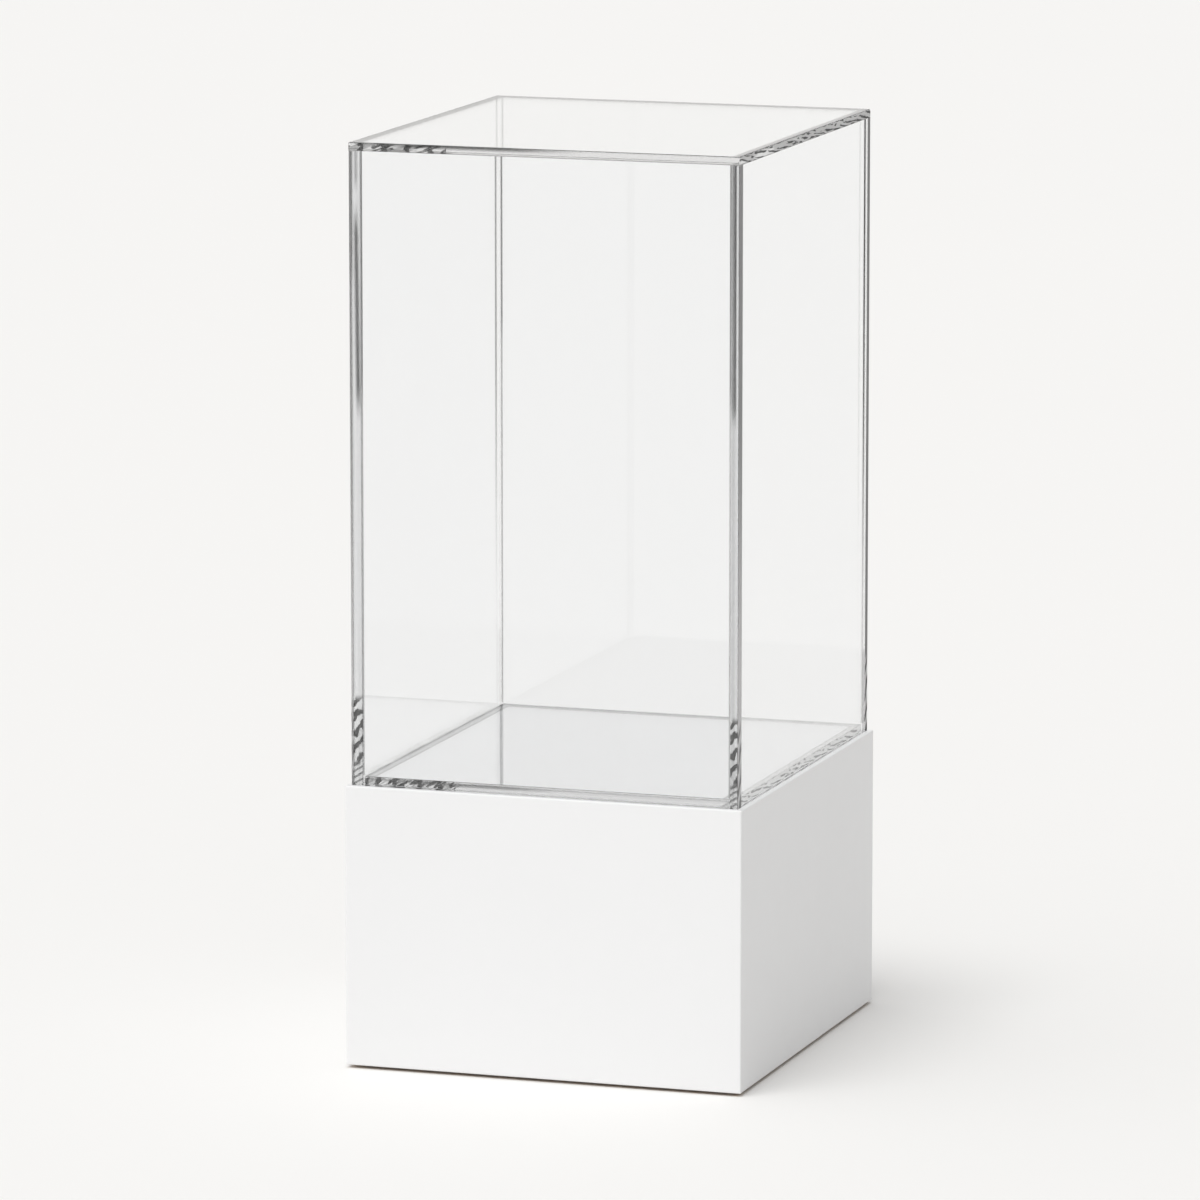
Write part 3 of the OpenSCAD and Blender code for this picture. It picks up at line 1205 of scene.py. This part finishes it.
@dataclass
class Cover:
    """The clear cover: a lid over four walls, the side ones between the other two.

    Attributes:
        body: The body that the cover is.
        weld_arris: The arris where a sheet is welded to another.
        weld_gap: How far a welded end stays back from the sheet that it meets.
        foot_arris: The arris along the walls' feet.
        foot_gap: How far the feet stay off the plinth.
        lid_arris: The arris along the lid's front.
        front_bead: The width of the cement's beads in the front corners.
        back_bead: Their width in the back corners.
        bead_gap: How far a bead stays off the sheets.
        bead_foot: How far above the deck the beads start.
        bead_steps: How many facets a bead's hollow face has.
    """

    body: str = "cover"
    weld_arris: float = 0.15 * MM
    weld_gap: float = 0.1 * MM
    foot_arris: float = 0.2 * MM
    foot_gap: float = 0.05 * MM
    lid_arris: float = 0.8 * MM
    front_bead: float = 1.5 * MM
    back_bead: float = 1.1 * MM
    bead_gap: float = 0.05 * MM
    bead_foot: float = 1.0 * MM
    bead_steps: int = 6

    def build(self) -> list[bpy.types.Object]:
        """Builds the sheets and the welds between them, and returns them."""
        return [sheet.build() for sheet in self.sheets()] + [self.welds()]

    def sheets(self) -> Iterator[ClearSheet]:
        """Works out how the faces of the five sheets are made.

        Yields:
            The sheets, the lid first.
        """
        foot = Face(FOOT, self.foot_arris, self.foot_gap)
        head = Face(TOP_END, self.weld_arris, self.weld_gap)
        yield ClearSheet("cover_top", self.body, {
            Side.LEFT: Face(LID_LEFT), Side.RIGHT: Face(LID_RIGHT),
            Side.FRONT: Face(LID_FRONT, self.lid_arris), Side.BACK: Face(LID_BACK),
            Side.UNDER: Face(LID_UNDER, self.weld_arris)})
        for node, inner, left, right in (("cover_front", Side.BACK, SATIN, SATIN),
                                         ("cover_back", Side.FRONT, DULL, DIM)):
            yield ClearSheet(node, self.body, {
                Side.LEFT: Face(left), Side.RIGHT: Face(right), inner: SEATED,
                Side.UNDER: foot, Side.TOP: head})
        for node, outer, end, back in (
                ("cover_left", Side.LEFT, LEFT_END, LEFT_BACK),
                ("cover_right", Side.RIGHT, RIGHT_END, RIGHT_BACK)):
            yield ClearSheet(node, self.body, {
                Side.FRONT: Face(end, self.weld_arris, self.weld_gap),
                Side.BACK: Face(back, self.weld_arris, self.weld_gap),
                outer: Face(SIDE_FACE), Side.UNDER: foot, Side.TOP: head})

    def welds(self) -> bpy.types.Object:
        """Runs a hollow bead of cement up each inner corner.

        Returns:
            The piece.
        """
        inner_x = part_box("cover_right")[0].x - self.bead_gap
        inner_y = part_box("cover_back")[0].y - self.bead_gap
        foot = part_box("deck")[1].z + self.bead_foot
        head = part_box("cover_front")[1].z - self.bead_gap
        made = bmesh.new()
        for way_x, way_y in ((1, 1), (-1, 1), (-1, -1), (1, -1)):
            outline = self.hollow(self.back_bead if way_y > 0 else self.front_bead)
            lower, upper = ([made.verts.new((way_x * (inner_x - x),
                                             way_y * (inner_y - y), z))
                             for x, y in outline] for z in (foot, head))
            bridge(made, lower, upper)
            made.faces.new(lower)
            made.faces.new(upper)
        bmesh.ops.recalc_face_normals(made, faces=made.faces)
        piece = placed("cover_corner_welds", mesh_of("cover_corner_welds", made))
        piece.data.materials.append(CEMENT.material())
        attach(piece, self.body)
        return piece

    def hollow(self, width: float) -> list[tuple[float, float]]:
        """Draws the outline of a bead, a corner with a hollow face.

        Args:
            width: The bead's width on each sheet.

        Returns:
            The outline's points, from the corner on.
        """
        outline = [(0.0, 0.0)]
        for step in range(self.bead_steps + 1):
            turn = math.pi / 2 * step / self.bead_steps
            outline.append((width * (1 - math.sin(turn)), width * (1 - math.cos(turn))))
        return outline


@dataclass
class Deck:
    """The clear sheet on the plinth that the cover fits round.

    Attributes:
        body: The body that the deck rides on.
        arris: The arris of its edges.
        under_gap: How far its underside stays off the plinth.
    """

    body: str = "plinth"
    arris: float = 0.5 * MM
    under_gap: float = 0.05 * MM

    def build(self) -> list[bpy.types.Object]:
        """Builds the sheet.

        Returns:
            The one new piece.
        """
        sheet = ClearSheet("deck", self.body, {
            Side.LEFT: Face(DECK_LEFT), Side.RIGHT: Face(DECK_RIGHT),
            Side.FRONT: Face(DECK_FRONT), Side.BACK: Face(DECK_BACK),
            Side.UNDER: Face(DECK_UNDER, setback=self.under_gap)}, self.arris)
        return [sheet.build()]


# ---- Plinth ------------------------------------------------------------------------


@dataclass
class Plinth:
    """The box with its inner frame and glides, all of them CAD nodes.

    Attributes:
        sides: The box's sides.
        corners: Its corners.
    """

    sides: tuple[str, ...] = ("front", "back", "left", "right")
    corners: tuple[str, ...] = ("front_left", "front_right", "back_left", "back_right")

    def dress(self) -> list[bpy.types.Object]:
        """Gives each CAD node of the plinth its finish.

        Returns:
            The dressed pieces.
        """
        pieces = LACQUER.dress(f"{side}_board" for side in (*self.sides, "top"))
        pieces += PINE[Axis.Z].dress(f"post_{corner}" for corner in self.corners)
        for bar in ("batten", "rail"):
            pieces += PINE[Axis.X].dress(f"{bar}_{side}" for side in self.sides[:2])
            pieces += PINE[Axis.Y].dress(f"{bar}_{side}" for side in self.sides[2:])
        pieces += BEECH.dress(("corner_biscuits", "top_biscuits"))
        pieces += NYLON.dress(f"glide_{corner}" for corner in self.corners)
        return pieces


# ---- Screws ------------------------------------------------------------------------

SAME_POINT = 0.001 * MM
SAME_LENGTH = 0.01 * MM
LENGTH_DIGITS = 5  # rounds metres to a hundredth of a millimetre
RADIUS_DIGITS = 6  # rounds metres to a thousandth of a millimetre
ON_AXIS = 0.2 * MM  # a screw's points that lie nearer to its axis are its tip
ON_RIM = 0.99  # the share of its head's radius from which a point lies on the rim


def solids_of(node: str) -> list[list[Vector]]:
    """Splits a CAD node into its separate solids.

    Args:
        node: The CAD node's name.

    Returns:
        The points of each solid, the solids in the order of their places.
    """
    copy = bmesh.new()
    copy.from_mesh(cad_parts[node].data)
    bmesh.ops.remove_doubles(copy, verts=copy.verts, dist=SAME_POINT)
    waiting = set(copy.verts)
    solids = []
    while waiting:
        found = [waiting.pop()]
        for vert in found:
            for edge in vert.link_edges:
                other = edge.other_vert(vert)
                if other in waiting:
                    waiting.remove(other)
                    found.append(other)
        solids.append([vert.co.copy() for vert in found])
    copy.free()
    return sorted(solids, key=lambda points: tuple(
        round(c, LENGTH_DIGITS) for c in middle_and_span(points)[0]))


def middle_and_span(points: list[Vector]) -> tuple[Vector, Vector]:
    """Measures the box round some points.

    Args:
        points: The points.

    Returns:
        The box's middle and its size.
    """
    low = Vector([min(p[i] for p in points) for i in range(3)])
    high = Vector([max(p[i] for p in points) for i in range(3)])
    return (low + high) / 2, high - low


@dataclass(frozen=True)
class ScrewPlace:
    """Where one screw sits, and its size.

    Attributes:
        head: The middle of its head's flat.
        aim: The direction that it points in.
        length: Its length.
        head_radius: The radius of its head.
        shank_radius: The radius of its shank.
    """

    head: Vector
    aim: Vector
    length: float
    head_radius: float
    shank_radius: float

    @classmethod
    def of(cls, points: list[Vector]) -> "ScrewPlace":
        """Finds the place and size of a plain screw.

        Args:
            points: The points of its solid.

        Returns:
            The place.
        """
        middle, span = middle_and_span(points)
        axis = max(range(3), key=lambda i: span[i])
        along = Vector([1.0 if i == axis else 0.0 for i in range(3)])
        reach = []
        for point in points:
            at = (point - middle).dot(along)
            reach.append((at, (point - middle - along * at).length))
        head_radius = max(radius for _, radius in reach)
        head_at = next(at for at, radius in reach if radius > ON_RIM * head_radius)
        aim = along if head_at < 0 else -along
        shank_radius = min(round(radius, RADIUS_DIGITS) for _, radius in reach
                           if radius > ON_AXIS)
        return cls(middle - aim * span[axis] / 2, aim, span[axis], head_radius,
                   shank_radius)


@dataclass
class ScrewSet:
    """Countersunk cross-recess screws in the place of one CAD node of plain ones.

    A tree of Geometry Nodes stands a screw on each point of a mesh, turned to the
    point's own direction, and winds the thread round its core.

    Attributes:
        node: The CAD node's name.
        finish: The screws' finish.
        pitch: The thread's pitch, which is also the length of smooth shank.
        core_share: The core's radius, as a share of the shank's.
        runout: How many pitches the shank takes to narrow to the core.
        ridge: The size of the thread's ridge, 1 where it just spans core and shank.
        ridge_corners: How many corners its section has.
        point_length: The length of the point.
        land: The height of the head's upright rim.
        wing: How far the recess reaches out, as a share of the head's radius.
        slot_half: Half the width of its slots, as the same share.
        waist: How far its inner corners lie out, in slot_half.
        recess_depth: Its depth, as a share of the head's radius.
        recess_floor: The size of its floor, as a share of its mouth's.
        round_steps: How many facets the core has.
        thread_steps: How many steps one turn of the thread has.
    """

    node: str
    finish: Finish = ZINC
    pitch: float = 1.6 * MM
    core_share: float = 0.68
    runout: float = 0.5
    ridge: float = 1.12
    ridge_corners: int = 3
    point_length: float = 4.0 * MM
    land: float = 0.3 * MM
    wing: float = 0.55
    slot_half: float = 0.13
    waist: float = 1.6
    recess_depth: float = 0.5
    recess_floor: float = 0.55
    round_steps: int = 24
    thread_steps: int = 16

    def build(self) -> list[bpy.types.Object]:
        """Builds the screws, one piece for each length of screw.

        Returns:
            The new pieces.
        """
        places = [ScrewPlace.of(points) for points in solids_of(self.node)]
        lengths = sorted({round(place.length, LENGTH_DIGITS) for place in places})
        made = []
        for length in lengths:
            name = self.node
            if len(lengths) > 1:
                name = f"{self.node}_{round(length / MM)}mm"
            piece = self.stand(f"{name}_threaded", [
                place for place in places if abs(place.length - length) < SAME_LENGTH])
            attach(piece, "plinth")
            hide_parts(self.node)
            made.append(piece)
        return made

    def stand(self, name: str, places: list[ScrewPlace]) -> bpy.types.Object:
        """Stands one screw at each place.

        Args:
            name: The piece's name.
            places: The places, all of one size of screw.

        Returns:
            The piece, a plain mesh.
        """
        points = bpy.data.meshes.new(f"{name}_points")
        points.from_pydata([place.head for place in places], [], [])
        aims = points.attributes.new("aim", "FLOAT_VECTOR", "POINT")
        aims.data.foreach_set("vector", [c for place in places for c in place.aim])
        carrier = placed(f"{name}_carrier", points)
        pattern = placed(f"{name}_pattern", self.body(places[0]))
        modifier = carrier.modifiers.new("screws", "NODES")
        modifier.node_group = self.tree(f"{name}_tree")
        settings = self.settings(pattern, places[0])
        for item in modifier.node_group.interface.items_tree:
            if item.in_out == "INPUT" and item.name in settings:
                modifier[item.identifier] = settings[item.name]
        bpy.context.view_layer.update()
        shown = carrier.evaluated_get(bpy.context.evaluated_depsgraph_get())
        mesh = bpy.data.meshes.new_from_object(shown)
        mesh.name = name
        carrier.modifiers.clear()
        for helper in (carrier, pattern):
            bpy.data.objects.remove(helper)
        return placed(name, mesh)

    def settings(self, pattern: bpy.types.Object, size: ScrewPlace) -> dict[str, Any]:
        """Works out what the tree's inputs are given.

        Args:
            pattern: The screw without its thread.
            size: A place that gives the screw's size.

        Returns:
            The value of each input by its name.
        """
        core = size.shank_radius * self.core_share
        smooth = size.head_radius - size.shank_radius + self.pitch
        wound = size.length - smooth - self.point_length
        return {"Screw": pattern, "Finish": self.finish.material(),
                "Thread radius": (core + size.shank_radius) / 2,
                "Thread depth": (size.shank_radius - core) / 2 * self.ridge,
                "Thread start": smooth, "Thread height": wound,
                "Turns": wound / self.pitch}

    def body(self, place: ScrewPlace) -> bpy.types.Mesh:
        """Turns the head and core of a screw, and sinks the cross recess into its head.

        Args:
            place: A place that gives the screw's size.

        Returns:
            The mesh, its head's flat on z = 0 and its point up.
        """
        core = place.shank_radius * self.core_share
        cone = place.head_radius - place.shank_radius
        outline = [(place.head_radius, 0.0), (place.head_radius, self.land),
                   (place.shank_radius, cone), (place.shank_radius, cone + self.pitch),
                   (core, cone + self.pitch * (1 + self.runout)),
                   (core, place.length - self.point_length)]
        made = bmesh.new()
        rings = [self.ring(made, radius, height) for radius, height in outline]
        for lower, upper in zip(rings, rings[1:]):
            bridge(made, lower, upper)
        tip = made.verts.new((0.0, 0.0, place.length))
        last = rings[-1]
        for index, vert in enumerate(last):
            made.faces.new((vert, last[(index + 1) % len(last)], tip))
        self.recess(made, rings[0], place.head_radius)
        bmesh.ops.recalc_face_normals(made, faces=made.faces)
        return mesh_of("screw_body", made)

    def ring(self, made: BMesh, radius: float, height: float) -> Verts:
        """Sets out a ring of new points.

        Args:
            made: The mesh in the making.
            radius: The ring's radius.
            height: Its height.

        Returns:
            The points.
        """
        turns = [math.tau / self.round_steps * i for i in range(self.round_steps)]
        return [made.verts.new((radius * math.cos(turn), radius * math.sin(turn),
                                height)) for turn in turns]

    def recess(self, made: BMesh, rim: Verts, head_radius: float) -> None:
        """Closes the head's flat with a cross recess whose floor tapers to the middle.

        Args:
            made: The mesh in the making.
            rim: The ring of the head's flat.
            head_radius: The head's radius.
        """
        wing, half = head_radius * self.wing, head_radius * self.slot_half
        waist = half * self.waist
        cross = []
        for quarter in range(4):
            turn = quarter * math.pi / 2
            for along, aside in ((wing, -half), (wing, half), (waist, waist)):
                cross.append((along * math.cos(turn) - aside * math.sin(turn),
                              along * math.sin(turn) + aside * math.cos(turn)))
        deep, small = head_radius * self.recess_depth, self.recess_floor
        mouth = [made.verts.new((x, y, 0.0)) for x, y in cross]
        floor = [made.verts.new((x * small, y * small, deep)) for x, y in cross]
        bridge(made, mouth, floor)
        made.faces.new(floor)
        edges = [made.edges.get((ring[i], ring[(i + 1) % len(ring)]))
                 for ring in (rim, mouth) for i in range(len(ring))]
        bmesh.ops.triangle_fill(made, edges=edges, use_beauty=True)

    def tree(self, name: str) -> bpy.types.NodeTree:
        """Builds the tree that stands a screw with its thread on each point.

        Args:
            name: The tree's name.

        Returns:
            The tree, with a named input for each size.
        """
        tree = bpy.data.node_groups.new(name, "GeometryNodeTree")
        for label, kind, way in (
                ("Geometry", "Geometry", "INPUT"), ("Geometry", "Geometry", "OUTPUT"),
                ("Screw", "Object", "INPUT"), ("Finish", "Material", "INPUT"),
                ("Thread radius", "Float", "INPUT"), ("Thread depth", "Float", "INPUT"),
                ("Thread start", "Float", "INPUT"), ("Thread height", "Float", "INPUT"),
                ("Turns", "Float", "INPUT")):
            tree.interface.new_socket(label, in_out=way,
                                      socket_type=f"NodeSocket{kind}")
        wire = Painter(tree)
        given = wire.node("NodeGroupInput").outputs
        screw = wire.node("GeometryNodeObjectInfo", {"Object": given["Screw"]})
        path = wire.node("GeometryNodeCurveSpiral", {
            "Resolution": self.thread_steps, "Rotations": given["Turns"],
            "Start Radius": given["Thread radius"],
            "End Radius": given["Thread radius"], "Height": given["Thread height"]})
        section = wire.node("GeometryNodeCurvePrimitiveCircle", {
            "Resolution": self.ridge_corners, "Radius": given["Thread depth"]})
        thread = wire.node("GeometryNodeCurveToMesh", {
            "Curve": path.outputs[0], "Profile Curve": section.outputs[0],
            "Fill Caps": True})
        lift = wire.node("ShaderNodeCombineXYZ", {2: given["Thread start"]})
        wound = wire.node("GeometryNodeTransform", {
            "Geometry": thread.outputs[0], "Translation": lift.outputs[0]})
        whole = wire.node("GeometryNodeJoinGeometry")
        for part in (wound.outputs[0], screw.outputs["Geometry"]):
            wire.feed(whole.inputs[0], part)
        aim = wire.node("GeometryNodeInputNamedAttribute", {"Name": "aim"},
                        data_type="FLOAT_VECTOR")
        turned = wire.node("FunctionNodeAlignRotationToVector",
                           {"Vector": aim.outputs["Attribute"]}, axis="Z")
        stood = wire.node("GeometryNodeInstanceOnPoints", {
            "Points": given["Geometry"], "Instance": whole.outputs[0],
            "Rotation": turned.outputs[0]})
        real = wire.node("GeometryNodeRealizeInstances", {0: stood.outputs[0]})
        dressed = wire.node("GeometryNodeSetMaterial", {
            "Geometry": real.outputs[0], "Material": given["Finish"]})
        wire.node("NodeGroupOutput", {0: dressed.outputs[0]})
        return tree


# ---- Studio ------------------------------------------------------------------------


@dataclass
class Studio:
    """Camera, floor, lamp and surroundings.

    Attributes:
        camera_at: Where the camera stands.
        camera_yaw: How far it is turned to the left of +Y, in radians.
        camera_pitch: How far it looks down, in radians.
        lens: Its focal length, in millimetres.
        view_end: How far it sees.
        floor_half: Half the floor's width.
        lamp_side: How far to the left of the front the lamp hangs, in degrees.
        lamp_height: How high it hangs, in degrees.
        lamp_breadth: How broad it is, in degrees.
        lamp_strength: How strong it is.
        fill: The strength of the light from all round.
        fill_front: How much more of it comes from the front.
        fill_left: How much more of it comes from the left.
        seen: The backdrop that the camera, gloss and glass see.
        card: The dark card that glass sees on the camera's side.
        card_side: From where to where the card ends towards the back.
        card_height: From where to where it ends upwards.
        bounces: How often light may turn in all.
        clear_bounces: How often it may turn on gloss and in clear sheets.
        dull_bounces: How often it may turn on dull surfaces.
    """

    camera_at: tuple[float, float, float] = (2.506512, -7.591352, 1.803476)
    camera_yaw: float = 0.32060
    camera_pitch: float = 0.16963
    lens: float = 249.239
    view_end: float = 200.0
    floor_half: float = 60.0
    lamp_side: float = 20.0
    lamp_height: float = 60.0
    lamp_breadth: float = 42.0
    lamp_strength: float = 1.0
    fill: float = 0.75
    fill_front: float = 0.34
    fill_left: float = 0.25
    seen: Colour = (0.913, 0.905, 0.888)
    card: Colour = (0.05, 0.05, 0.05)
    card_side: Reach = (-0.3, 0.2)
    card_height: Reach = (0.2, 0.35)
    bounces: int = 24
    clear_bounces: int = 16
    dull_bounces: int = 4

    def build(self) -> None:
        """Builds the camera, the floor, the lamp and the world."""
        self.camera()
        self.floor()
        self.lamp()
        self.world()
        bpy.context.scene.view_settings.view_transform = "Standard"
        cycles = bpy.context.scene.cycles
        cycles.max_bounces = self.bounces
        cycles.transmission_bounces = self.clear_bounces
        cycles.glossy_bounces = self.clear_bounces
        cycles.transparent_max_bounces = self.clear_bounces
        cycles.diffuse_bounces = self.dull_bounces
        cycles.caustics_reflective = False
        cycles.caustics_refractive = False

    def camera(self) -> None:
        """Puts the camera where the photograph was taken from."""
        data = bpy.data.cameras.new("camera")
        data.lens = self.lens
        data.clip_end = self.view_end
        camera = placed("camera", data)
        camera.location = self.camera_at
        level = math.cos(self.camera_pitch)
        forward = Vector((-math.sin(self.camera_yaw) * level,
                          math.cos(self.camera_yaw) * level,
                          -math.sin(self.camera_pitch)))
        camera.rotation_euler = forward.to_track_quat("-Z", "Y").to_euler()
        bpy.context.scene.camera = camera

    def floor(self) -> None:
        """Lays the floor under the case."""
        made = bmesh.new()
        bmesh.ops.create_grid(made, x_segments=1, y_segments=1, size=self.floor_half)
        floor = placed("studio_floor", mesh_of("studio_floor", made))
        floor.data.materials.append(StudioFloor("studio_floor").material())

    def lamp(self) -> None:
        """Hangs the one broad lamp, high on the left of the front."""
        data = bpy.data.lights.new("broad_lamp", "SUN")
        data.energy = self.lamp_strength
        data.angle = math.radians(self.lamp_breadth)
        side, height = math.radians(self.lamp_side), math.radians(self.lamp_height)
        towards = Vector((-math.sin(side) * math.cos(height),
                          -math.cos(side) * math.cos(height), math.sin(height)))
        lamp = placed("broad_lamp", data)
        lamp.rotation_euler = (-towards).to_track_quat("-Z", "Y").to_euler()

    def world(self) -> None:
        """Surrounds the case with fill light.

        The camera, gloss and glass see a pale backdrop. Glass also sees a dark card on
        the camera's side, which draws its edges, as in a studio.
        """
        world = bpy.data.worlds.new("studio")
        bpy.context.scene.world = world
        world.use_nodes = True
        wire = Painter(world.node_tree)
        light = world.node_tree.nodes["Background"]
        wire.feed_all(light, {0: (1.0, 1.0, 1.0), 1: self.fill_light(wire)})
        ray = wire.node("ShaderNodeLightPath").outputs
        backdrop = wire.node("ShaderNodeBackground", {0: self.seen, 1: 1.0})
        glass = wire.node("ShaderNodeBackground", {0: self.cards(wire), 1: 1.0})
        shown = light.outputs[0]
        for kind, source in (("Is Camera Ray", backdrop), ("Is Glossy Ray", backdrop),
                             ("Is Transmission Ray", glass)):
            shown = wire.mixed(ray[kind], shown, source.outputs[0])
        wire.feed(world.node_tree.nodes["World Output"].inputs[0], shown)

    def fill_light(self, wire: Painter) -> Socket:
        """Makes the fill light's strength, higher in front and on the left.

        Args:
            wire: What adds nodes to the world.

        Returns:
            The strength.
        """
        direction = wire.node("ShaderNodeTexCoord").outputs["Generated"]
        right, back, _ = wire.axes(direction)
        front = wire.maths("MULTIPLY_ADD", back, -self.fill_front, self.fill)
        return wire.maths("MULTIPLY_ADD", right, -self.fill_left, front)

    def cards(self, wire: Painter) -> Socket:
        """Makes the backdrop that glass sees, with the dark card.

        Args:
            wire: What adds nodes to the world.

        Returns:
            The colour.
        """
        direction = wire.node("ShaderNodeTexCoord").outputs["Generated"]
        _, back, up = wire.axes(direction)
        clear = wire.maths("MAXIMUM", wire.spread(back, *self.card_side),
                           wire.spread(up, *self.card_height))
        return wire.blend(clear, self.card, self.seen)


# ---- Order of work -----------------------------------------------------------------


def report(pieces: Iterable[bpy.types.Object]) -> None:
    """Logs the name and the size of each piece.

    Args:
        pieces: The pieces.
    """
    for piece in pieces:
        size = " x ".join(f"{length / MM:.1f}" for length in piece.dimensions)
        LOG.info("%s: %s mm", piece.name, size)


def main() -> None:
    """Builds the studio, dresses the plinth and builds the new pieces in order."""
    Studio().build()
    LOG.info("studio ready")
    report(Plinth().dress())
    for node in ("batten_screws", "rail_screws", "glide_screws"):
        report(ScrewSet(node).build())
    report(Deck().build())
    report(Cover().build())


if __name__ == "__main__":
    logging.basicConfig(level=logging.INFO, format="%(name)s %(message)s")
    main()
